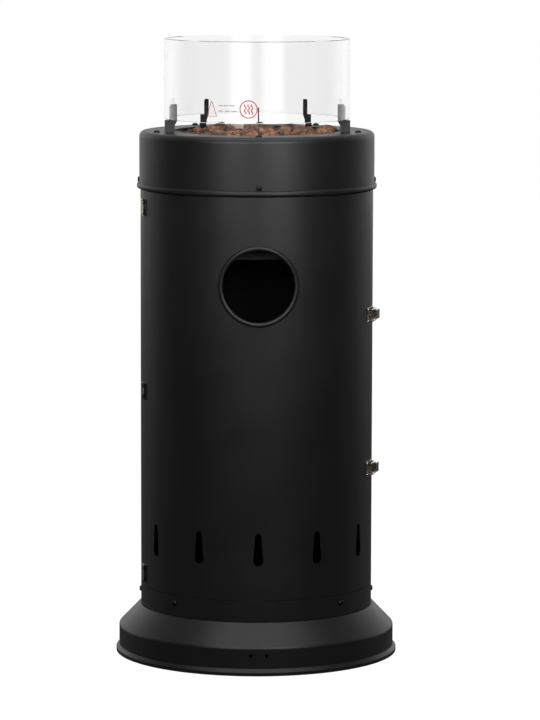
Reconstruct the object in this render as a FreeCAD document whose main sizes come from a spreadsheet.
"""Outdoor gas heater: a round steel cabinet with a hinged door, a flared base, and a burner with lava
rock behind a glass ring.  Millimetres, +Z up, origin on the floor under the middle of the cabinet.
The front, with the door's porthole, faces -Y.  An azimuth counts from the front towards +X."""
import FreeCAD, Part
import math
import os

import Sketcher

Vector = FreeCAD.Vector
Rotation = FreeCAD.Rotation
Placement = FreeCAD.Placement

doc = FreeCAD.newDocument("OutdoorHeater")
sheet = doc.addObject("Spreadsheet::Sheet", "Sizes")


# ---------------------------------------------------------------- sizes
class Size:
    """A number that also knows the sheet formula that gives it."""

    def __init__(self, value, formula):
        self.value = float(value)
        self.formula = formula

    def combine(self, other, sign, result):
        return Size(result, f"({self.formula} {sign} {as_size(other).formula})")

    def __add__(self, other):
        return self.combine(other, "+", self.value + as_size(other).value)

    def __sub__(self, other):
        return self.combine(other, "-", self.value - as_size(other).value)

    def __mul__(self, other):
        return self.combine(other, "*", self.value * as_size(other).value)

    def __truediv__(self, other):
        return self.combine(other, "/", self.value / as_size(other).value)

    def __radd__(self, other):
        return as_size(other) + self

    def __rsub__(self, other):
        return as_size(other) - self

    def __rmul__(self, other):
        return as_size(other) * self

    def __neg__(self):
        return 0 - self


def as_size(number):
    return number if isinstance(number, Size) else Size(number, repr(float(number)))


SIZES = {
    # cabinet
    "body_radius": 207.5, "skin": 1.2, "shell_bottom": 87.0, "cap_edge": 834.5, "shell_lap": 27.5,
    # base
    "band_overhang": 39.5, "lip_flare": 5.5, "lip_height": 6.0, "band_foot": 12.0, "band_top": 48.0,
    "cone_top": 86.5, "cone_overhang": 2.3, "shoulder_round": 5.0, "press_sheet": 1.5,
    "collar_height": 35.5, "floor_height": 98.5, "floor_rim_drop": 3.0, "air_hole_radius": 16.0,
    "fixing_spacing": 27.5, "fixing_height": 35.2, "fixing_radius": 3.0,
    # fits
    "fit_gap": 0.3, "cap_gap": 0.5, "running_gap": 0.05, "door_gap": 0.8, "hole_gap": 0.3,
    # door
    "door_bottom": 125.0, "door_top_gap": 1.5, "seam_angle": 74.0, "jamb_angle": 9.0,
    "porthole_height": 678.0, "porthole_radius": 62.5, "ring_width": 8.5, "ring_proud": 4.0,
    "ring_depth": 2.5, "ring_throat": 2.0, "vent_bottom": 186.5, "vent_length": 57.7,
    "vent_low_radius": 8.8, "vent_high_radius": 5.6, "vent_pitch": 30.0,
    # hinges and latches
    "hinge_length": 29.0, "hinge_top": 803.4, "hinge_middle": 475.9, "hinge_low": 147.8,
    "hinge_leaf_angle": 8.0, "hinge_tab_angle": 2.0, "hinge_edge_angle": 0.55, "hinge_pin_radius": 1.4,
    "hinge_pin_end": 0.8, "hinge_pin_flare": 0.9, "knuckle_wall": 1.1, "pin_offset": 3.6,
    "leaf_sheet": 1.2, "lift_off": 0.15, "strap_foot": 1.6, "strap_extra": 0.4, "rivet_radius": 2.2,
    "rivet_height": 1.0, "rivet_inset_angle": 0.6,
    "latch_upper": 612.9, "latch_lower": 337.3, "latch_plate_height": 27.0, "latch_plate_angle": 5.6,
    "latch_edge_angle": 0.6, "keeper_edge_angle": 0.5, "keeper_angle": 4.2, "ear_half_width": 3.5,
    "ear_over_pin": 2.6, "latch_foot": 0.4, "side_gap": 0.4, "cheek_ahead": 0.8, "cheek_past_loop": 2.6,
    "latch_pin_radius": 1.5, "latch_pin_out": 4.2, "latch_pin_back": 9.0,
    "latch_pin_end": 0.6, "lever_width": 16.4,
    "lever_length": 19.0, "lever_out": 10.6, "lever_sheet": 1.2, "hub_wall": 0.9, "loop_wire": 1.2,
    "loop_pivot_back": 15.0, "loop_pivot_out": 8.3, "loop_bar_ahead": 7.0, "loop_bar_out": 6.2,
    "hook_height": 3.2, "hook_width": 12.0, "hook_gap": 0.8,
    # cap
    "cap_height": 102.0, "cap_round": 10.0, "bead_height": 9.0, "bead_proud": 4.3, "bead_slope": 1.0,
    "opening_inset": 17.0, "cap_screw_above_edge": 15.0, "screw_radius": 2.0, "pan_head_radius": 4.3,
    "pan_head_height": 2.2, "screw_length": 10.0, "collar_screw_height": 110.0,
    "collar_screw_pitch": 45.0, "deck_screw_beyond": 22.0, "deck_head_radius": 5.5,
    "deck_head_height": 3.0, "deck_screw_length": 12.0,
    # burner
    "flange_lap": 10.0, "pan_depth": 59.0, "feed_hole_radius": 15.0, "grate_height": 24.0,
    "grate_sheet": 2.0, "grate_hole_radius": 9.0, "grate_leg_radius": 4.0, "burner_ring_radius": 84.0,
    "burner_tube_radius": 8.0, "burner_tube_wall": 2.0, "burner_lift": 13.0, "hub_above_tube": 6.5,
    "hub_below_pan": 8.0, "hub_seat": 3.0, "hub_seat_lap": 4.0, "venturi_radius": 10.0,
    "venturi_wall": 2.0, "venturi_length": 62.0, "air_port_radius": 4.0, "air_port_height": 22.0,
    "jet_radius": 5.0, "jet_length": 16.0, "jet_flange": 2.0, "jet_bore": 0.9,
    "hood_x": -34.0, "hood_y": 50.0, "hood_width": 22.0, "hood_depth": 14.0, "hood_above_deck": 8.0,
    "hood_wall": 1.0, "hood_mouth_top": 8.0, "hood_mouth_height": 26.0, "pilot_spacing": 6.0,
    "pilot_tube_radius": 3.0, "couple_radius": 2.4, "ceramic_radius": 2.6, "electrode_radius": 0.8,
    "electrode_bare": 8.0, "electrode_socket": 2.0, "pilot_below_top": 22.0, "pilot_foot_drop": 10.0,
    "bracket_side": 12.0, "bracket_end": 6.0, "shield_drop": 90.0, "shield_sheet": 1.0,
    "shield_rim_over_screw": 8.0, "shield_hole_gap": 6.0,
    # controls
    "panel_y": -150.0, "panel_width": 250.0, "panel_bottom": 720.0, "panel_flange": 22.0,
    "knob_x": 0.0, "knob_height": 785.0, "stem_radius": 4.0, "stem_push": 4.0, "stem_front": 12.0,
    "stem_hole_gap": 3.0, "knob_radius": 21.0, "knob_length": 18.0, "knob_skirt": 3.5, "knob_grip": 5.0,
    "knob_behind": 2.0, "button_x": 70.0, "button_radius": 7.0, "button_length": 18.0,
    "button_proud": 1.0, "button_travel": 6.0, "housing_wall": 2.0, "housing_length": 39.0,
    "housing_bezel": 3.0, "housing_bore": 18.0, "housing_nut": 4.0,
    "valve_width": 74.0, "valve_depth": 44.0, "valve_tall": 30.0, "valve_shift": 12.0,
    "valve_bore": 24.0, "inlet_shift": 30.0, "boss_radius": 7.0, "boss_length": 5.0, "nut_radius": 9.0,
    "nut_length": 8.0, "tail_length": 29.0, "tail_radius": 4.0, "tail_bore": 2.0, "barb_radius": 4.8,
    "barb_length": 3.0, "barb_pitch": 7.0, "pipe_radius": 4.0, "pipe_bend": 16.0,
    "pilot_pipe_radius": 2.0, "pilot_pipe_bend": 12.0, "pilot_pipe_rise": 8.0, "lead_radius": 1.5,
    "lead_bend": 10.0, "lead_drop": 4.0, "lead_lane_back": 68.0, "lead_lane_rise": 35.0,
    # glass
    "glass_radius": 165.0, "glass_wall": 5.0, "glass_height": 142.0, "glass_above_deck": 21.5,
    "glass_edge": 0.8, "clip_sheet": 2.0, "clip_tab_height": 27.7, "clip_tab_slope": 3.0,
    "clip_pitch": 72.0, "clip_outer_lap": 7.0, "clip_foot_inset": 6.0, "clip_step": 10.0,
    "tenon_inside": 9.0, "tenon_outside": 1.0, "tenon_depth": 7.0,
    # lava rock
    "rock_size": 20.5, "rock_gap": 0.8, "rock_height": 41.0,
}

for row, (name, value) in enumerate(SIZES.items(), start=1):
    sheet.set(f"A{row}", name)
    sheet.set(f"B{row}", str(value))
    sheet.setAlias(f"B{row}", name)
doc.recompute()


class Sheet:
    """Gives each driving size by its alias."""

    def __getattr__(self, name):
        return Size(SIZES[name], f"Sizes.{name}")


size = Sheet()


def cosine(angle):
    angle = as_size(angle)
    return Size(math.cos(math.radians(angle.value)), f"cos({angle.formula} * 1 deg)")


def sine(angle):
    angle = as_size(angle)
    return Size(math.sin(math.radians(angle.value)), f"sin({angle.formula} * 1 deg)")


def root(number):
    return Size(math.sqrt(number.value), f"sqrt({number.formula})")


def around(radius, azimuth):
    """X and Y at a radius and an azimuth."""
    return as_size(radius) * sine(azimuth), -(as_size(radius) * cosine(azimuth))


# ---------------------------------------------------------------- building helpers
FULL_TURN = 360
UPRIGHT = 0.99
NEAR = 0.02
SPARE = 3
nodes = []


def node(thing, label):
    """Name a finished sub-part: the label is its node and file name."""
    thing.Label = label
    nodes.append(thing)
    return thing


def bind(thing, **formulas):
    for name, amount in formulas.items():
        thing.setExpression(name, as_size(amount).formula)
    return thing


def place(thing, x=0, y=0, z=0, axis=(0, 0, 1), angle=0):
    """Put a thing at x, y, z, turned by an angle about an axis, all tied to the sheet."""
    x, y, z, angle = as_size(x), as_size(y), as_size(z), as_size(angle)
    thing.Placement = Placement(Vector(x.value, y.value, z.value), Rotation(Vector(*axis), angle.value))
    thing.setExpression("Placement.Base.x", x.formula)
    thing.setExpression("Placement.Base.y", y.formula)
    thing.setExpression("Placement.Base.z", z.formula)
    thing.setExpression("Placement.Rotation.Angle", f"{angle.formula} * 1 deg")
    return thing


def origin_item(body, role):
    return next(item for item in body.Origin.OriginFeatures if item.Role == role)


def sketch_on(body, name, role, tilt=0):
    """A sketch on one of the body's planes, turned about the vertical by tilt degrees."""
    sketch = body.newObject("Sketcher::SketchObject", name)
    sketch.AttachmentSupport = (origin_item(body, role), [""])
    sketch.MapMode = "FlatFace"
    tilt = as_size(tilt)
    if tilt.value:
        sketch.AttachmentOffset = Placement(Vector(), Rotation(Vector(0, 1, 0), tilt.value))
        sketch.setExpression("AttachmentOffset.Rotation.Angle", f"{tilt.formula} * 1 deg")
    return sketch


def fix_point(sketch, index, end, across, up):
    for kind, amount in (("DistanceX", as_size(across)), ("DistanceY", as_size(up))):
        number = sketch.addConstraint(Sketcher.Constraint(kind, index, end, amount.value))
        sketch.setExpression(f"Constraints[{number}]", amount.formula)


def outline(sketch, points):
    """A closed run of straight lines, each corner tied to the sheet, added to what the sketch has."""
    start = sketch.GeometryCount
    corners = [Vector(as_size(a).value, as_size(b).value, 0) for a, b in points]
    for first, second in zip(corners, corners[1:] + corners[:1]):
        sketch.addGeometry(Part.LineSegment(first, second), False)
    count = len(corners)
    for index in range(count):
        following = start + (index + 1) % count
        sketch.addConstraint(Sketcher.Constraint("Coincident", start + index, 2, following, 1))
    for index, (across, up) in enumerate(points):
        fix_point(sketch, start + index, 1, across, up)


def circle(sketch, radius, across=0, up=0):
    radius, across, up = as_size(radius), as_size(across), as_size(up)
    index = sketch.addGeometry(Part.Circle(Vector(across.value, up.value, 0), Vector(0, 0, 1),
                                           radius.value), False)
    number = sketch.addConstraint(Sketcher.Constraint("Radius", index, radius.value))
    sketch.setExpression(f"Constraints[{number}]", radius.formula)
    fix_point(sketch, index, 3, across, up)


def new_body(name, azimuth=None):
    """A body, turned so that its own +X faces the azimuth when one is given."""
    body = doc.addObject("PartDesign::Body", name)
    if azimuth is not None:
        place(body, angle=as_size(azimuth) - 90)
    return body


def revolve(body, points, span=None):
    """Turn an outline of (radius, height) about Z, all round or over a span centred on the body's +X."""
    sketch = sketch_on(body, "Profile", "XZ_Plane")
    outline(sketch, points)
    turn = body.newObject("PartDesign::Revolution", "Turn")
    turn.Profile = sketch
    turn.ReferenceAxis = (sketch, ["V_Axis"])
    turn.Angle = FULL_TURN
    if span is not None:
        turn.Midplane = True
        bind(turn, Angle=span)
    doc.recompute()
    return turn


def groove(body, points, span):
    """Cut a window out of a turned shell, over a span centred on the body's +X."""
    sketch = sketch_on(body, "Window", "XZ_Plane")
    outline(sketch, points)
    window = body.newObject("PartDesign::Groove", "WindowCut")
    window.Profile = sketch
    window.ReferenceAxis = (sketch, ["V_Axis"])
    window.Midplane = True
    bind(window, Angle=span)
    doc.recompute()


def ring_edges(feature, spots):
    """Names of the circular edges that lie at the given (radius, height) spots."""
    found = []
    for number, edge in enumerate(feature.Shape.Edges, start=1):
        if not isinstance(edge.Curve, Part.Circle) or abs(edge.Curve.Axis.z) < UPRIGHT:
            continue
        here = (edge.Curve.Radius, edge.Curve.Center.z)
        if any(math.dist(here, (as_size(r).value, as_size(z).value)) < NEAR for r, z in spots):
            found.append(f"Edge{number}")
    return found


def round_rings(body, feature, radius, spots):
    fillet = body.newObject("PartDesign::Fillet", "Round")
    fillet.Base = (feature, ring_edges(feature, spots))
    bind(fillet, Radius=radius)
    doc.recompute()
    return fillet


def raise_unless_cut(body, faces_before):
    """A cut that misses the solid shows no error, but it leaves the number of faces as it was."""
    if len(body.Shape.Faces) <= faces_before:
        raise RuntimeError(f"{body.Name}: a cut removed nothing")


def radial_cut(body, draw, tilt=0, count=1, sweep=0):
    """Cut a drawing outwards through the wall on the body's +X side, and repeat it round Z."""
    before = len(body.Shape.Faces)
    sketch = sketch_on(body, "CutDrawing", "YZ_Plane", tilt)
    draw(sketch)
    pocket = body.newObject("PartDesign::Pocket", "RadialCut")
    pocket.Profile = sketch
    pocket.Type = "Length"
    pocket.Reversed = True
    bind(pocket, Length=lip_radius + SPARE)
    doc.recompute()
    if count > 1:
        repeat = body.newObject("PartDesign::PolarPattern", "RoundZ")
        repeat.Originals = [pocket]
        repeat.Axis = (origin_item(body, "Z_Axis"), [""])
        repeat.Occurrences = count
        bind(repeat, Angle=sweep)
        body.Tip = repeat
        doc.recompute()
    raise_unless_cut(body, before)


def cut_down(body, draw):
    """Cut a drawing on the body's XY plane upwards and downwards through everything."""
    before = len(body.Shape.Faces)
    sketch = sketch_on(body, "PlanDrawing", "XY_Plane")
    draw(sketch)
    pocket = body.newObject("PartDesign::Pocket", "PlanCut")
    pocket.Profile = sketch
    pocket.Type = "ThroughAll"
    pocket.Midplane = True
    doc.recompute()
    raise_unless_cut(body, before)


def box(width, depth, height, x=0, y=0, z=0):
    """A box centred on x and y, standing on z."""
    block = doc.addObject("Part::Box", "Block")
    bind(block, Length=width, Width=depth, Height=height)
    return place(block, as_size(x) - as_size(width) / 2, as_size(y) - as_size(depth) / 2, z)


def rod(radius, length, x=0, y=0, z=0, along="z"):
    """A cylinder from x, y, z along +Z, +Y or +X."""
    bar = doc.addObject("Part::Cylinder", "Rod")
    bind(bar, Radius=radius, Height=length)
    turns = {"z": ((0, 0, 1), 0), "y": ((1, 0, 0), -90), "x": ((0, 1, 0), 90)}
    return place(bar, x, y, z, *turns[along])


def fuse(*things):
    joined = doc.addObject("Part::MultiFuse", "Joined")
    joined.Shapes = list(things)
    joined.Refine = True
    return joined


def cut(base, *tools):
    result = base
    for tool in tools:
        step = doc.addObject("Part::Cut", "Cut")
        step.Base = result
        step.Tool = tool
        result = step
    return result


def intersect(first, second):
    common = doc.addObject("Part::Common", "Common")
    common.Base = first
    common.Tool = second
    return common


def group(*things):
    collection = doc.addObject("Part::Compound", "Group")
    collection.Links = list(things)
    return collection


def turned_about(thing, azimuth):
    """Turn a finished thing, built at the front, round Z to an azimuth."""
    return place(thing, angle=azimuth)


# ---------------------------------------------------------------- heights and radii that follow
inner_radius = size.body_radius - size.skin
band_radius = size.body_radius + size.band_overhang
lip_radius = band_radius + size.lip_flare
cone_radius = size.body_radius + size.cone_overhang
collar_radius = inner_radius - size.fit_gap
collar_top = size.cone_top + size.collar_height
cap_inner = size.body_radius + size.cap_gap
cap_radius = cap_inner + size.press_sheet
deck = size.cap_edge + size.cap_height
under_deck = deck - size.press_sheet
under_flange = under_deck - size.press_sheet
shell_top = size.cap_edge + size.shell_lap
door_top = size.cap_edge - size.door_top_gap
cap_screw_height = size.cap_edge + size.cap_screw_above_edge
pan_floor_top = under_deck - size.pan_depth
pan_floor_under = pan_floor_top - size.press_sheet
opening_radius = size.glass_radius - size.opening_inset
deck_screw_ring = size.glass_radius + size.deck_screw_beyond
flange_radius = deck_screw_ring + size.flange_lap
pan_inner = opening_radius - size.press_sheet
grate_bottom = pan_floor_top + size.grate_height
grate_top = grate_bottom + size.grate_sheet
glass_seat = deck + size.glass_above_deck
shank_hole = size.screw_radius + size.hole_gap
shield_height = deck - size.shield_drop
FRONT, REAR = 0, 180
FRONT_VENTS, REAR_VENTS = 5, 3
COLLAR_SCREWS, CAP_SCREWS, CLIPS = 7, 4, 5


def ring_of_holes(body, radius, height, first, count, sweep):
    radial_cut(body, lambda sketch: circle(sketch, radius, 0, height), first, count, sweep)


def collar_holes(body):
    """Holes for the collar screws: one each pitch, none at the front."""
    pitch = size.collar_screw_pitch
    ring_of_holes(body, shank_hole, size.collar_screw_height, pitch, COLLAR_SCREWS,
                  pitch * (COLLAR_SCREWS - 1))


def cap_holes(body):
    """Four holes for the cap screws, front, back and sides."""
    ring_of_holes(body, shank_hole, cap_screw_height, 0, CAP_SCREWS,
                  FULL_TURN / CAP_SCREWS * (CAP_SCREWS - 1))


def vent_drawing(sketch):
    """A teardrop slot: a wide round bottom, a narrow round top and straight sides tangent to both."""
    low, high = size.vent_low_radius, size.vent_high_radius
    low_z = size.vent_bottom + low
    high_z = size.vent_bottom + size.vent_length - high
    lean = math.asin((low.value - high.value) / (high_z.value - low_z.value))
    centre_low, centre_high = Vector(0, low_z.value, 0), Vector(0, high_z.value, 0)
    up = Vector(0, 0, 1)
    sketch.addGeometry(Part.ArcOfCircle(Part.Circle(centre_low, up, low.value),
                                        math.pi - lean, 2 * math.pi + lean), False)
    sketch.addGeometry(Part.ArcOfCircle(Part.Circle(centre_high, up, high.value),
                                        lean, math.pi - lean), False)
    spot = lambda centre, r, angle: centre + Vector(r * math.cos(angle), r * math.sin(angle), 0)
    sketch.addGeometry(Part.LineSegment(spot(centre_low, low.value, lean),
                                        spot(centre_high, high.value, lean)), False)
    sketch.addGeometry(Part.LineSegment(spot(centre_high, high.value, math.pi - lean),
                                        spot(centre_low, low.value, math.pi - lean)), False)
    for first, first_end, second, second_end in ((0, 2, 2, 1), (2, 2, 1, 1), (1, 2, 3, 1), (3, 2, 0, 1)):
        sketch.addConstraint(Sketcher.Constraint("Tangent", first, first_end, second, second_end))
    for index, radius, height in ((0, low, low_z), (1, high, high_z)):
        number = sketch.addConstraint(Sketcher.Constraint("Radius", index, radius.value))
        sketch.setExpression(f"Constraints[{number}]", radius.formula)
        fix_point(sketch, index, 3, 0, height)


def vents(body, middle, count):
    """A row of vents round an azimuth, counted from the body's +X side."""
    half = size.vent_pitch * ((count - 1) / 2)
    radial_cut(body, vent_drawing, middle - half, count, half * 2)


# ---------------------------------------------------------------- base
def base_skirt():
    body = new_body("BaseSkirt", FRONT)
    wall = size.press_sheet
    turn = revolve(body, [
        (lip_radius, 0), (lip_radius, size.lip_height), (band_radius, size.band_foot),
        (band_radius, size.band_top), (cone_radius, size.cone_top), (collar_radius, size.cone_top),
        (collar_radius, collar_top), (collar_radius - wall, collar_top),
        (collar_radius - wall, size.cone_top - wall), (cone_radius - wall / 2, size.cone_top - wall),
        (band_radius - wall, size.band_top - wall), (band_radius - wall, size.band_foot + wall / 2),
        (lip_radius - wall, size.lip_height + wall / 2), (lip_radius - wall, 0)])
    round_rings(body, turn, size.shoulder_round, [(band_radius, size.band_top)])
    collar_holes(body)

    def fixing_pair(sketch):
        for side in (-1, 1):
            circle(sketch, size.fixing_radius, size.fixing_spacing * (side / 2), size.fixing_height)
    radial_cut(body, fixing_pair)
    node(body, "base_skirt")


def base_floor():
    """A dished floor for the bottle, screwed inside the collar, with air holes."""
    body = new_body("BaseFloor", FRONT)
    wall = size.press_sheet
    rim = collar_radius - wall - size.fit_gap
    top = collar_top - size.floor_rim_drop
    revolve(body, [
        (0, size.floor_height), (rim, size.floor_height), (rim, top), (rim - wall, top),
        (rim - wall, size.floor_height + wall), (0, size.floor_height + wall)])
    collar_holes(body)
    hole_count = 6
    ring_share = 0.72

    def air_holes(sketch):
        for step in range(hole_count):
            x, y = around(rim * ring_share, FULL_TURN / hole_count * step)
            circle(sketch, size.air_hole_radius, x, y)
    cut_down(body, air_holes)
    node(body, "base_floor")


def pan_head_screws(label, ring, height, azimuths):
    """Pan head screws through a round wall, heads outside."""
    screws = []
    head_height = size.pan_head_height
    for azimuth in azimuths:
        head = rod(size.pan_head_radius, head_height, 0, -(ring + head_height), height, "y")
        shank = rod(size.screw_radius, size.screw_length, 0, -(ring + head_height / 2), height, "y")
        screws.append(turned_about(group(fuse(head, shank)), azimuth))
    node(group(*screws), label)


# ---------------------------------------------------------------- shell and door
def body_shell():
    body = new_body("BodyShell", FRONT)
    revolve(body, [(inner_radius, size.shell_bottom), (size.body_radius, size.shell_bottom),
                   (size.body_radius, shell_top), (inner_radius, shell_top)])
    low, high = size.door_bottom - size.door_gap, size.cap_edge - size.door_gap / 2
    groove(body, [(inner_radius - SPARE, low), (size.body_radius + SPARE, low),
                  (size.body_radius + SPARE, high), (inner_radius - SPARE, high)], size.seam_angle * 2)
    collar_holes(body)
    cap_holes(body)
    vents(body, REAR, REAR_VENTS)
    node(body, "body_shell")


def jamb(label, side):
    """A stop strip inside the shell, half behind the shell's edge and half behind the door's."""
    body = new_body("Jamb", size.seam_angle * side)
    outer = inner_radius - size.fit_gap
    low, high = collar_top + size.fit_gap, shield_height - size.fit_gap
    revolve(body, [(outer - size.skin, low), (outer, low), (outer, high), (outer - size.skin, high)],
            size.jamb_angle)
    node(body, label)


def front_door():
    body = new_body("FrontDoor", FRONT)
    gap_angle = size.door_gap / size.body_radius * math.degrees(1)
    revolve(body, [(inner_radius, size.door_bottom), (size.body_radius, size.door_bottom),
                   (size.body_radius, door_top), (inner_radius, door_top)],
            size.seam_angle * 2 - gap_angle * 2)
    vents(body, FRONT, FRONT_VENTS)
    throat = size.porthole_radius + size.ring_throat
    radial_cut(body, lambda sketch: circle(sketch, throat, 0, size.porthole_height))
    node(body, "front_door")


def level_bore(radius):
    """A tool from the cabinet's middle out through the porthole."""
    reach = size.body_radius + size.porthole_radius
    return rod(radius, reach, 0, -reach, size.porthole_height, "y")


def upright_core(radius):
    """A tool that is the cabinet's inside up to the cap's edge."""
    core = doc.addObject("Part::Cylinder", "Core")
    return bind(core, Radius=radius, Height=size.cap_edge)


def porthole_ring():
    """A rolled rim that lines the porthole and stands a little proud of the door all round."""
    outer = level_bore(size.porthole_radius + size.ring_width)
    throat = level_bore(size.porthole_radius + size.ring_throat - size.running_gap)
    lip = cut(intersect(outer, upright_core(size.body_radius + size.ring_proud)),
              upright_core(size.body_radius))
    neck = cut(intersect(throat, upright_core(size.body_radius + size.ring_proud / 2)),
               upright_core(inner_radius - size.ring_depth))
    node(group(cut(fuse(lip, neck), level_bore(size.porthole_radius))), "porthole_ring")


# ---------------------------------------------------------------- hinges
HINGES = {"top": size.hinge_top, "middle": size.hinge_middle, "low": size.hinge_low}
pin_radius_at = size.body_radius + size.pin_offset
hinge_bore = size.hinge_pin_radius + size.running_gap
knuckle_radius = hinge_bore + size.knuckle_wall
KNUCKLES = 3


def leaf_plate(start_angle, span, height, length):
    """A leaf rolled to the cabinet's outside, from one azimuth over a span, centred on a height."""
    body = new_body("Leaf", start_angle + span / 2)
    outer = size.body_radius + size.leaf_sheet
    low = height - length / 2
    revolve(body, [(size.body_radius, low), (outer, low), (outer, low + length),
                   (size.body_radius, low + length)], span)
    return body


def knuckle(index, height):
    """One third of the hinge barrel, with the wall that ties it down to its leaf."""
    x, y = around(pin_radius_at, -size.seam_angle)
    part_length = size.hinge_length / KNUCKLES
    low = height - size.hinge_length / 2 + part_length * index
    return rod(knuckle_radius, part_length - size.fit_gap, x, y, low + size.fit_gap / 2)


def strap(index, height, towards):
    """The short bend from a knuckle to its leaf, on the frame side (-1) or the door side (+1)."""
    part_length = size.hinge_length / KNUCKLES
    low = height - size.hinge_length / 2 + part_length * index + size.fit_gap / 2
    reach = knuckle_radius + size.strap_foot
    thickness = size.knuckle_wall + size.strap_extra
    block = box(reach, thickness, part_length - size.fit_gap, reach / 2 * towards,
                -(size.body_radius + size.lift_off + thickness / 2), low)
    return turned_about(group(block), -size.seam_angle)


def hinge_hole(height):
    x, y = around(pin_radius_at, -size.seam_angle)
    return rod(hinge_bore, size.hinge_length + SPARE * 2, x, y, height - size.hinge_length / 2 - SPARE)


def hinge(name, height):
    edge, length = size.hinge_edge_angle, size.hinge_length
    frame_side = [knuckle(0, height), knuckle(2, height), strap(0, height, -1), strap(2, height, -1)]
    span = size.hinge_leaf_angle
    leaf = leaf_plate(-(size.seam_angle + span + edge), span, height, length)
    node(cut(fuse(leaf, *frame_side), hinge_hole(height)), f"{name}_hinge_frame_leaf")
    tab = leaf_plate(-(size.seam_angle - edge), size.hinge_tab_angle, height, length)
    node(cut(fuse(tab, knuckle(1, height), strap(1, height, 1)), hinge_hole(height)),
         f"{name}_hinge_door_leaf")


def hinge_pins():
    pins = []
    x, y = around(pin_radius_at, -size.seam_angle)
    over = size.hinge_pin_end
    for height in HINGES.values():
        low = height - size.hinge_length / 2
        shaft = rod(size.hinge_pin_radius, size.hinge_length + over * 2, x, y, low - over)
        head = rod(size.hinge_pin_radius + size.hinge_pin_flare, over, x, y,
                   low + size.hinge_length + size.fit_gap)
        pins.append(group(fuse(shaft, head)))
    node(group(*pins), "hinge_pins")


def rivets(label, azimuth, heights, fitting_length):
    """Rivet heads in pairs, one near each end of every fitting of a length."""
    end_share = 0.38
    heads = []
    for height in heights:
        for side in (-1, 1):
            head = rod(size.rivet_radius, size.rivet_height, 0,
                       -(size.body_radius + size.leaf_sheet + size.rivet_height),
                       height + fitting_length * end_share * side, "y")
            heads.append(turned_about(group(head), azimuth))
    node(group(*heads), label)


# ---------------------------------------------------------------- latches
LATCHES = {"upper": size.latch_upper, "lower": size.latch_lower}
loop_side = size.lever_width / 2 + size.side_gap + size.loop_wire
ear_height = loop_side + size.loop_wire + size.side_gap


def latch_rod(radius, length, back, out, z):
    """A vertical rod at a latch: back along the wall from the seam, out from the wall."""
    return rod(radius, length, back, -(size.body_radius + out), z)


def latch_block(back_start, back_end, out_start, out_end, low, high):
    start, end = as_size(back_start), as_size(back_end)
    near, far = as_size(out_start), as_size(out_end)
    return box(end - start, far - near, as_size(high) - as_size(low), (start + end) / 2,
               -(size.body_radius + (near + far) / 2), low)


def at_seam(thing):
    return turned_about(group(thing), size.seam_angle)


def latch(name, height):
    half_lever, face_out = size.lever_width / 2, size.lever_out
    pin_out, pin_back = size.latch_pin_out, size.latch_pin_back
    pin_hole = size.latch_pin_radius + size.running_gap
    hub = pin_hole + size.hub_wall
    ear, foot = size.leaf_sheet, size.latch_foot
    # frame plate with two ears
    plate = leaf_plate(size.seam_angle + size.latch_edge_angle, size.latch_plate_angle, height,
                       size.latch_plate_height)
    ears = [at_seam(latch_block(pin_back - size.ear_half_width, pin_back + size.ear_half_width, foot,
                                pin_out + size.ear_over_pin, low, low + ear))
            for low in (height - ear_height - ear, height + ear_height)]
    reach = ear_height + ear + SPARE
    pin_way = at_seam(latch_rod(size.latch_pin_radius, reach * 2, pin_back, pin_out, height - reach))
    node(cut(fuse(plate, *ears), pin_way), f"{name}_latch_base")
    # lever: hub, two cheeks and a face plate
    low, high = height - half_lever, height + half_lever
    hub_rod = latch_rod(hub, size.lever_width, pin_back, pin_out, low)
    start, end = pin_back + size.cheek_ahead, size.loop_pivot_back + size.cheek_past_loop
    web = latch_block(start, end, pin_out, face_out + size.lever_sheet / 3, low, high)
    hollow = latch_block(start - SPARE, end + SPARE, hub + pin_out + size.fit_gap, face_out,
                         low + size.lever_sheet, high - size.lever_sheet)
    face = latch_block(start, start + size.lever_length, face_out, face_out + size.lever_sheet, low, high)
    pin_bore = latch_rod(pin_hole, size.lever_width + SPARE * 2, pin_back, pin_out, low - SPARE)
    loop_bore = latch_rod(size.loop_wire + size.running_gap, size.lever_width + SPARE * 2,
                          size.loop_pivot_back, size.loop_pivot_out, low - SPARE)
    lever = cut(fuse(cut(web, hollow), hub_rod, face), pin_bore, loop_bore)
    node(at_seam(lever), f"{name}_latch_lever")
    node(at_seam(latch_loop(height)), f"{name}_latch_loop")
    # keeper on the door
    keep_plate = leaf_plate(size.seam_angle - size.keeper_edge_angle - size.keeper_angle,
                            size.keeper_angle, height, size.latch_plate_height)
    hook_start = size.loop_wire + size.hook_gap - size.loop_bar_ahead
    hook = latch_block(hook_start, hook_start + size.leaf_sheet, foot, size.hook_height,
                       height - size.hook_width / 2, height + size.hook_width / 2)
    node(group(fuse(keep_plate, at_seam(hook))), f"{name}_latch_keeper")


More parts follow.
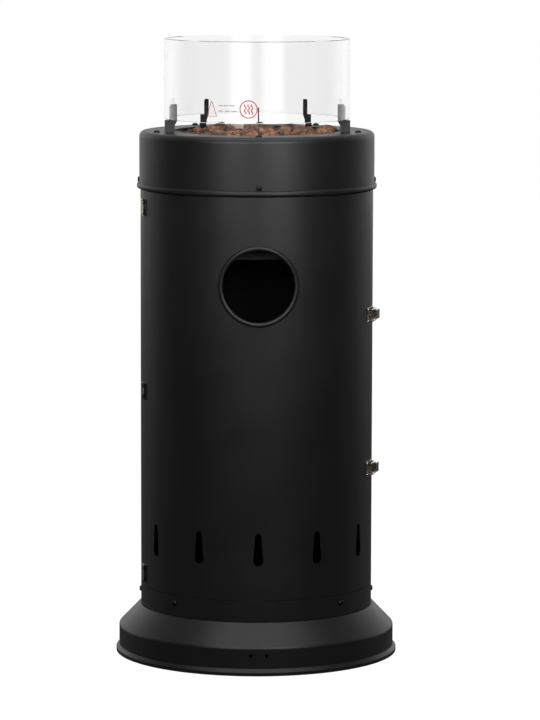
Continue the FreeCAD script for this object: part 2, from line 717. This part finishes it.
def latch_loop(height):
    """A wire loop: an axle in the lever, two side wires and a cross bar over the keeper's hook."""
    wire = size.loop_wire
    axle_back, axle_out = size.loop_pivot_back, size.loop_pivot_out
    bar_back, bar_out = -size.loop_bar_ahead, size.loop_bar_out
    run, rise = axle_back - bar_back, axle_out - bar_out
    lean = Size(math.degrees(math.atan2(rise.value, run.value)),
                f"(atan({rise.formula} / {run.formula}) / 1 deg)")
    pieces = [latch_rod(wire, loop_side * 2, back, out, height - loop_side)
              for back, out in ((axle_back, axle_out), (bar_back, bar_out))]
    for side in (-1, 1):
        wire_rod = place(rod(wire, root(run * run + rise * rise)), axis=(0, 1, 0), angle=90)
        pieces.append(place(group(wire_rod), bar_back, -(size.body_radius + bar_out),
                            height + loop_side * side, (0, 0, 1), -lean))
        for back, out in ((axle_back, axle_out), (bar_back, bar_out)):
            ball = bind(doc.addObject("Part::Sphere", "Corner"), Radius=wire)
            pieces.append(place(ball, back, -(size.body_radius + out), height + loop_side * side))
    return fuse(*pieces)


def latch_pins():
    pins = []
    reach = ear_height + size.leaf_sheet + size.latch_pin_end
    for height in LATCHES.values():
        pins.append(at_seam(latch_rod(size.latch_pin_radius, reach * 2, size.latch_pin_back,
                                      size.latch_pin_out, height - reach)))
    node(group(*pins), "latch_pins")


# ---------------------------------------------------------------- cap and burner
clip_outer = size.glass_radius + size.clip_outer_lap
tenon_start = size.glass_radius - size.tenon_inside
tenon_end = size.glass_radius + size.tenon_outside


def clip_slots(sketch):
    """Slots that the clips' tenons drop through, and the deck screw holes beyond them.  In the plan of
    a body turned to the front, across is the world's -Y and up is its +X."""
    slot = size.clip_sheet + size.hole_gap * 2
    start, end = tenon_start - size.hole_gap, tenon_end + size.hole_gap
    for step in range(CLIPS):
        azimuth = size.clip_pitch * step
        corners = []
        for radius, side in ((start, -1), (end, -1), (end, 1), (start, 1)):
            corners.append((radius * cosine(azimuth) - slot * (side / 2) * sine(azimuth),
                            radius * sine(azimuth) + slot * (side / 2) * cosine(azimuth)))
        outline(sketch, corners)
        circle(sketch, shank_hole, deck_screw_ring * cosine(azimuth), deck_screw_ring * sine(azimuth))


def hood_window(sketch, half_width, half_depth):
    """A rectangle round the pilot hood, in the plan of a body turned to the front."""
    outline(sketch, [(-size.hood_y + half_depth * a, size.hood_x + half_width * b)
                     for a, b in ((-1, -1), (1, -1), (1, 1), (-1, 1))])


def top_cap():
    body = new_body("TopCap", FRONT)
    bead = cap_radius + size.bead_proud
    low, high = size.cap_edge + size.bead_slope, size.cap_edge + size.bead_height
    turn = revolve(body, [
        (cap_inner, size.cap_edge), (cap_radius, size.cap_edge), (bead, low), (bead, high),
        (cap_radius, high + size.bead_slope), (cap_radius, deck), (opening_radius, deck),
        (opening_radius, under_deck), (cap_inner, under_deck)])
    rounded = round_rings(body, turn, size.cap_round, [(cap_radius, deck)])
    rounded = round_rings(body, rounded, size.cap_round - size.press_sheet, [(cap_inner, under_deck)])
    round_share = 0.8
    round_rings(body, rounded, size.bead_proud * round_share, [(bead, low), (bead, high)])
    cap_holes(body)
    cut_down(body, clip_slots)
    node(body, "top_cap")


def pan_openings(sketch):
    circle(sketch, size.feed_hole_radius)
    hood_window(sketch, size.hood_width / 2 - size.hood_wall, size.hood_depth / 2 - size.hood_wall * 2)


def burner_pan():
    body = new_body("BurnerPan", FRONT)
    revolve(body, [
        (0, pan_floor_under), (opening_radius, pan_floor_under), (opening_radius, under_flange),
        (flange_radius, under_flange), (flange_radius, under_deck), (pan_inner, under_deck),
        (pan_inner, pan_floor_top), (0, pan_floor_top)])
    cut_down(body, pan_openings)
    cut_down(body, clip_slots)
    node(body, "burner_pan")


def deck_screws():
    screws = []
    for step in range(CLIPS):
        x, y = around(deck_screw_ring, size.clip_pitch * step)
        head = rod(size.deck_head_radius, size.deck_head_height, x, y, deck)
        shank = rod(size.screw_radius, size.deck_screw_length, x, y, deck - size.deck_screw_length)
        screws.append(group(fuse(head, shank)))
    node(group(*screws), "deck_screws")


def rock_grate():
    body = new_body("RockGrate", FRONT)
    edge = pan_inner - size.fit_gap
    revolve(body, [(0, grate_bottom), (edge, grate_bottom), (edge, grate_top), (0, grate_top)])
    ring_shares = {6: 0.36, 12: 0.62, 18: 0.86}
    first_hole = 10

    def holes(sketch):
        for count, share in ring_shares.items():
            for step in range(count):
                x, y = around(edge * share, FULL_TURN / count * step + first_hole)
                circle(sketch, size.grate_hole_radius, -y, x)
        hood_window(sketch, size.hood_width / 2 + size.hood_wall, size.hood_depth / 2 + size.hood_wall)
    cut_down(body, holes)
    leg_count, leg_share = 4, 0.94
    legs = []
    for step in range(leg_count):
        x, y = around(edge * leg_share, FULL_TURN / leg_count * (step + 0.5))
        legs.append(rod(size.grate_leg_radius, size.grate_height, x, y, pan_floor_top))
    node(group(fuse(body, *legs)), "rock_grate")


def burner():
    """The burner ring with its hub, the mixing tube under it and the jet at the tube's mouth."""
    level = pan_floor_top + size.burner_lift
    hub_low = pan_floor_under - size.hub_below_pan
    mouth = hub_low - size.venturi_length
    ring = doc.addObject("Part::Torus", "BurnerTube")
    bind(ring, Radius1=size.burner_ring_radius, Radius2=size.burner_tube_radius)
    place(ring, z=level)
    cross = rod(size.burner_tube_radius - size.burner_tube_wall, size.burner_ring_radius * 2,
                -size.burner_ring_radius, 0, level, "x")
    hub = rod(size.feed_hole_radius - size.hole_gap, level + size.hub_above_tube - hub_low, 0, 0, hub_low)
    seat = rod(size.feed_hole_radius + size.hub_seat_lap, size.hub_seat, 0, 0, pan_floor_top)
    gas_way = size.venturi_radius - size.venturi_wall
    bore = rod(gas_way, level - hub_low, 0, 0, hub_low)
    node(group(cut(fuse(ring, cross, hub, seat), bore)), "burner_ring")
    tube = rod(size.venturi_radius, size.venturi_length, 0, 0, mouth)
    hollow = rod(gas_way, size.venturi_length + SPARE * 2, 0, 0, mouth - SPARE)
    air = rod(size.air_port_radius, size.venturi_radius * 3, -size.venturi_radius * 1.5, 0,
              mouth + size.air_port_height, "x")
    node(group(cut(tube, hollow, air)), "venturi_tube")
    low = mouth - size.jet_flange
    jet = fuse(rod(size.jet_radius, size.jet_length, 0, 0, low),
               rod(size.venturi_radius, size.jet_flange, 0, 0, low))
    jet_hole = rod(size.jet_bore, size.jet_length + SPARE * 2, 0, 0, low - SPARE)
    node(group(cut(jet, jet_hole)), "gas_jet")
    return low


def pilot():
    """The pilot under its hood: a flame tube, a thermocouple and a spark electrode in a bracket."""
    x, y, wall = size.hood_x, size.hood_y, size.hood_wall
    width, depth = size.hood_width, size.hood_depth
    top = deck + size.hood_above_deck
    outer = box(width, depth, top - pan_floor_top, x, y, pan_floor_top)
    hollow = box(width - wall * 2, depth - wall * 2, top - pan_floor_top, x, y, pan_floor_top - wall)
    mouth = box(width - wall * 4, depth * 2, size.hood_mouth_height, x, y,
                top - size.hood_mouth_top - size.hood_mouth_height)
    node(group(cut(outer, hollow, mouth)), "pilot_hood")
    plate = box(width + size.bracket_side * 2, depth + size.bracket_end * 2, size.press_sheet, x, y,
                pan_floor_under - size.press_sheet)
    foot = pan_floor_under - size.pilot_foot_drop
    tall = top - size.pilot_below_top - foot
    left, right = x - size.pilot_spacing, x + size.pilot_spacing
    holes = [rod(radius, size.press_sheet + SPARE * 2, at, y, pan_floor_under - size.press_sheet - SPARE)
             for at, radius in ((left, size.ceramic_radius), (x, size.pilot_tube_radius),
                                (right, size.couple_radius))]
    node(group(cut(plate, *holes)), "pilot_bracket")
    node(group(rod(size.pilot_tube_radius, tall, x, y, foot)), "pilot_burner")
    node(group(rod(size.couple_radius, tall, right, y, foot)), "thermocouple")
    wire_foot = foot + size.electrode_socket
    ceramic = rod(size.ceramic_radius, tall - size.electrode_bare, left, y, foot)
    wire_way = rod(size.electrode_radius, tall, left, y, wire_foot)
    node(group(cut(ceramic, wire_way)), "electrode_insulator")
    node(group(rod(size.electrode_radius, tall, left, y, wire_foot)), "spark_electrode")
    return foot


def heat_shield():
    body = new_body("HeatShield", FRONT)
    wall, low, rim = size.shield_sheet, shield_height, collar_radius
    top = cap_screw_height + size.shield_rim_over_screw
    revolve(body, [(0, low), (rim, low), (rim, top), (rim - wall, top), (rim - wall, low + wall),
                   (0, low + wall)])
    cap_holes(body)

    def openings(sketch):
        gap = size.shield_hole_gap
        circle(sketch, size.venturi_radius + gap)
        hood_window(sketch, size.hood_width / 2 + gap + size.hood_wall,
                    size.hood_depth / 2 + gap - size.hood_wall)
    cut_down(body, openings)
    node(body, "heat_shield")


# ---------------------------------------------------------------- controls
panel_front = size.panel_y
panel_back = size.panel_y + size.skin


def control_panel():
    height = shield_height - size.panel_bottom
    face = box(size.panel_width, size.skin, height, 0, panel_front + size.skin / 2, size.panel_bottom)
    flange = box(size.panel_width, size.panel_flange, size.skin, 0, panel_front + size.panel_flange / 2,
                 shield_height - size.skin)
    reach, start = size.skin + SPARE * 2, panel_front - SPARE
    knob_hole = rod(size.stem_radius + size.stem_hole_gap, reach, size.knob_x, start, size.knob_height, "y")
    button_hole = rod(size.button_radius + size.housing_wall + size.hole_gap, reach, size.button_x, start,
                      size.knob_height, "y")
    node(group(cut(fuse(face, flange), knob_hole, button_hole)), "control_panel")


def gas_valve():
    """The valve block behind the panel, and the hose nozzle that screws into its boss from below."""
    x, z = size.knob_x, size.knob_height
    middle = panel_back + size.valve_depth / 2
    block_low = z - size.valve_tall / 2
    block = box(size.valve_width, size.valve_depth, size.valve_tall, x - size.valve_shift, middle,
                block_low)
    bore = rod(size.stem_radius + size.running_gap, size.valve_bore + SPARE, x, panel_back - SPARE, z, "y")
    inlet_x, boss_low = x - size.inlet_shift, block_low - size.boss_length
    boss = rod(size.boss_radius, size.boss_length, inlet_x, middle, boss_low)
    node(group(cut(fuse(block, boss), bore)), "gas_valve")
    nut_low = boss_low - size.nut_length
    tail_low = nut_low - size.tail_length
    nut = rod(size.nut_radius, size.nut_length, inlet_x, middle, nut_low)
    tail = rod(size.tail_radius, size.tail_length, inlet_x, middle, tail_low)
    barbs = [rod(size.barb_radius, size.barb_length, inlet_x, middle,
                 tail_low + size.barb_length + size.barb_pitch * step) for step in range(3)]
    throat = rod(size.tail_bore, size.tail_length + size.nut_length + SPARE * 2, inlet_x, middle,
                 tail_low - SPARE)
    node(group(cut(fuse(nut, tail, *barbs), throat)), "hose_nozzle")


def stem_and_knob():
    """A stem that slides and rests in the valve, and a knob with a grip bar on its end."""
    x, z, radius = size.knob_x, size.knob_height, size.knob_radius
    stem_start = panel_front - size.stem_front - size.stem_push
    stem_length = panel_back + size.valve_bore - size.stem_push - 1 - stem_start
    node(group(rod(size.stem_radius, stem_length, x, stem_start, z, "y")), "valve_stem")
    knob_back = panel_front - size.knob_behind - size.stem_push
    knob_front = knob_back - size.knob_length
    barrel_share, grip_share = 0.8, 0.85
    knob = fuse(rod(radius * barrel_share, size.knob_length, x, knob_front, z, "y"),
                rod(radius, size.knob_skirt, x, knob_back - size.knob_skirt, z, "y"),
                box(size.knob_grip, size.knob_length, radius * grip_share * 2, x,
                    knob_front + size.knob_length / 2, z - radius * grip_share))
    socket = rod(size.stem_radius + size.running_gap, stem_length, x, stem_start - size.fit_gap, z, "y")
    node(group(cut(knob, socket)), "control_knob")


def igniter():
    """A push button in a threaded housing, held to the panel by a bezel and a nut."""
    x, z, radius = size.button_x, size.knob_height, size.button_radius
    wall, bezel = size.housing_wall, size.housing_bezel
    housing = fuse(rod(radius + wall, size.housing_length, x, panel_front, z, "y"),
                   rod(radius + wall * 3, bezel, x, panel_front - bezel, z, "y"),
                   rod(radius + wall * 2.5, size.housing_nut, x, panel_back, z, "y"))
    bore = rod(radius + size.running_gap, bezel + size.housing_bore + SPARE, x, panel_front - bezel - SPARE,
               z, "y")
    node(group(cut(housing, bore)), "igniter_housing")
    button_front = panel_front - bezel - size.button_travel - size.button_proud
    node(group(rod(radius, size.button_length, x, button_front, z, "y")), "igniter_button")


def pipes(pilot_foot, jet_foot):
    """The gas pipe to the jet, and the pilot's pipe and two leads up to its foot."""
    z, back = size.knob_height, panel_back + size.valve_depth
    lead, left, right = size.lead_radius, size.hood_x - size.pilot_spacing, size.hood_x + size.pilot_spacing
    bent_tube("gas_pipe", size.pipe_radius, size.pipe_bend, 0, back, 0, z, jet_foot)
    bent_tube("pilot_pipe", size.pilot_pipe_radius, size.pilot_pipe_bend, size.hood_x, back, size.hood_y,
              z + size.pilot_pipe_rise, pilot_foot)
    bent_tube("thermocouple_lead", lead, size.lead_bend, right, back, size.hood_y, z - size.lead_drop,
              pilot_foot)
    lane_y, lane_z = panel_back + size.lead_lane_back, z + size.lead_lane_rise
    square_tube_run("spark_lead", lead, [
        (size.button_x, panel_front + size.housing_length, z), (size.button_x, lane_y, z),
        (size.button_x, lane_y, lane_z), (left, lane_y, lane_z), (left, size.hood_y, lane_z),
        (left, size.hood_y, pilot_foot)])


def bent_tube(label, radius, bend, x, start_y, end_y, low_z, top_z):
    """A tube that runs back level from the valve, bends up once and rises to its fitting."""
    level = rod(radius, end_y - bend - start_y, x, start_y, low_z, "y")
    rise = rod(radius, top_z - low_z - bend, x, end_y, low_z + bend)
    elbow = bind(doc.addObject("Part::Torus", "Elbow"), Radius1=bend, Radius2=radius)
    elbow.Angle3 = FULL_TURN / 4
    # the quarter ring lies in XY, so it is stood up to join +Y travel to +Z travel
    stood = place(group(elbow), x, end_y - bend, low_z + bend, (0, 1, 0), 90)
    node(group(fuse(level, stood, rise)), label)


def square_tube_run(label, radius, points):
    """An insulated wire along level, cross and upright runs, with a round corner at each turn."""
    points = [[as_size(amount) for amount in point] for point in points]
    pieces = []
    for start, end in zip(points, points[1:]):
        lane = max(range(3), key=lambda axis: abs(end[axis].value - start[axis].value))
        forward = end[lane].value > start[lane].value
        first, last = (start, end) if forward else (end, start)
        pieces.append(rod(radius, last[lane] - first[lane], *first, "xyz"[lane]))
    for point in points[1:-1]:
        ball = bind(doc.addObject("Part::Sphere", "Corner"), Radius=radius)
        pieces.append(place(ball, *point))
    node(group(fuse(*pieces)), label)


# ---------------------------------------------------------------- glass and rock
def glass_clip(step):
    """A flat plate on edge, standing on the deck, with a ledge for the glass and a tab inside it."""
    body = new_body("GlassClip", size.clip_pitch * step)
    inside = size.glass_radius - size.glass_wall - size.fit_gap
    tab_top = glass_seat + size.clip_tab_height
    slope, foot_start = size.clip_tab_slope, opening_radius + size.clip_foot_inset
    sketch = sketch_on(body, "Side", "XZ_Plane")
    outline(sketch, [
        (clip_outer, deck), (clip_outer, glass_seat), (inside, glass_seat), (inside, tab_top - slope),
        (inside - slope, tab_top), (opening_radius, tab_top), (opening_radius, glass_seat),
        (foot_start, glass_seat - size.clip_step), (foot_start, deck), (tenon_start, deck),
        (tenon_start, deck - size.tenon_depth), (tenon_end, deck - size.tenon_depth), (tenon_end, deck)])
    plate = body.newObject("PartDesign::Pad", "Plate")
    plate.Profile = sketch
    plate.Midplane = True
    bind(plate, Length=size.clip_sheet)
    doc.recompute()
    node(body, f"glass_clip_{step + 1}")


def glass_guard():
    body = new_body("GlassGuard", FRONT)
    inner = size.glass_radius - size.glass_wall
    top = glass_seat + size.glass_height
    edge = size.glass_edge
    revolve(body, [(inner + edge, glass_seat), (size.glass_radius - edge, glass_seat),
                   (size.glass_radius, glass_seat + edge), (size.glass_radius, top - edge),
                   (size.glass_radius - edge, top), (inner + edge, top), (inner, top - edge),
                   (inner, glass_seat + edge)])
    node(body, "glass_guard")


def stone(centre, radius, height, turn, sides):
    """A rough stone: a stack of level rings of corners, each a scaled copy of the widest."""
    width_at = {0.0: 0.62, 0.3: 1.0, 0.68: 0.86, 1.0: 0.42}
    waviness = 0.1
    rings = []
    for share, scale in width_at.items():
        ring = []
        for side in range(sides):
            angle = turn + 2 * math.pi * side / sides
            reach = radius * scale * (1 - waviness + waviness * math.cos(2.3 * side + turn))
            ring.append(centre + Vector(reach * math.cos(angle), reach * math.sin(angle), height * share))
        rings.append(ring)
    faces = [polygon(list(reversed(rings[0]))), polygon(rings[-1])]
    for lower, upper in zip(rings, rings[1:]):
        for side in range(sides):
            following = (side + 1) % sides
            faces.append(polygon([lower[side], lower[following], upper[following], upper[side]]))
    return Part.Solid(Part.Shell(faces))


def polygon(points):
    return Part.Face(Part.makePolygon(points + points[:1]))


def lava_rocks():
    """One layer of stones on the grate, in as many rings as the pan takes, left out at the pilot hood."""
    widest = size.rock_size.value
    floor = grate_top.value + size.running_gap.value
    hood = Vector(size.hood_x.value, size.hood_y.value, floor)
    hood_reach = size.hood_width.value / 2 + SPARE
    outer_ring = pan_inner.value - widest
    rings = int(outer_ring / (2 * widest + size.rock_gap.value))
    twist, least, most = 0.35, 0.87, 0.99
    stones = []
    for ring in range(rings + 1):
        count = max(6 * ring, 1)
        for step in range(count):
            index = len(stones)
            angle = 2 * math.pi * step / count + twist * ring
            reach = ring * outer_ring / rings
            spot = Vector(reach * math.cos(angle), reach * math.sin(angle), floor)
            radius = widest * (least + (most - least) * (0.5 + 0.5 * math.sin(2.1 * index)))
            if spot.distanceToPoint(hood) < radius + hood_reach:
                continue
            height = size.rock_height.value * (0.98 + 0.12 * math.sin(1.7 * index + 1))
            stones.append(stone(spot, radius, height, 0.8 * index, 7 + index % 2))
    rocks = doc.addObject("Part::Feature", "LavaRocks")
    rocks.Shape = Part.Compound(stones)
    node(rocks, "lava_rocks")


# ---------------------------------------------------------------- build
base_skirt()
base_floor()
body_shell()
jamb("hinge_side_jamb", -1)
jamb("latch_side_jamb", 1)
front_door()
porthole_ring()
top_cap()
burner_pan()
pan_head_screws("collar_screws", size.body_radius, size.collar_screw_height,
                [size.collar_screw_pitch * step for step in range(1, COLLAR_SCREWS + 1)])
pan_head_screws("cap_screws", cap_radius, cap_screw_height,
                [FULL_TURN / CAP_SCREWS * step for step in range(CAP_SCREWS)])
deck_screws()
for hinge_name, hinge_height in HINGES.items():
    hinge(hinge_name, hinge_height)
hinge_pins()
rivets("hinge_rivets", -(size.seam_angle + size.hinge_edge_angle + size.hinge_leaf_angle / 2),
       HINGES.values(), size.hinge_length)
for latch_name, latch_height in LATCHES.items():
    latch(latch_name, latch_height)
latch_pins()
rivets("latch_base_rivets", size.seam_angle + size.latch_plate_angle - size.rivet_inset_angle,
       LATCHES.values(), size.latch_plate_height)
rivets("latch_keeper_rivets", size.seam_angle - size.keeper_angle + size.rivet_inset_angle,
       LATCHES.values(), size.latch_plate_height)
rock_grate()
jet_low = burner()
pilot_low = pilot()
heat_shield()
control_panel()
gas_valve()
stem_and_knob()
igniter()
pipes(pilot_low, jet_low)
for clip in range(CLIPS):
    glass_clip(clip)
glass_guard()
lava_rocks()

# ---------------------------------------------------------------- check and write
doc.recompute()
for item in doc.Objects:
    if "Invalid" in item.State or "Error" in item.State:
        raise RuntimeError(f"{item.Name} ({item.Label}) did not build: {item.State}")
for item in nodes:
    if item.Shape.isNull() or not item.Shape.isValid() or not item.Shape.Solids:
        raise RuntimeError(f"{item.Label} has no valid solid")
os.makedirs("parts", exist_ok=True)
for item in nodes:
    item.Shape.exportStep(f"parts/{item.Label}.step")
    reach = item.Shape.BoundBox
    print(f"{item.Label:28s} solids {len(item.Shape.Solids):3d}  volume {item.Shape.Volume:12.1f}"
          f"  z {reach.ZMin:7.1f} to {reach.ZMax:7.1f}")
print(len(nodes), "nodes")
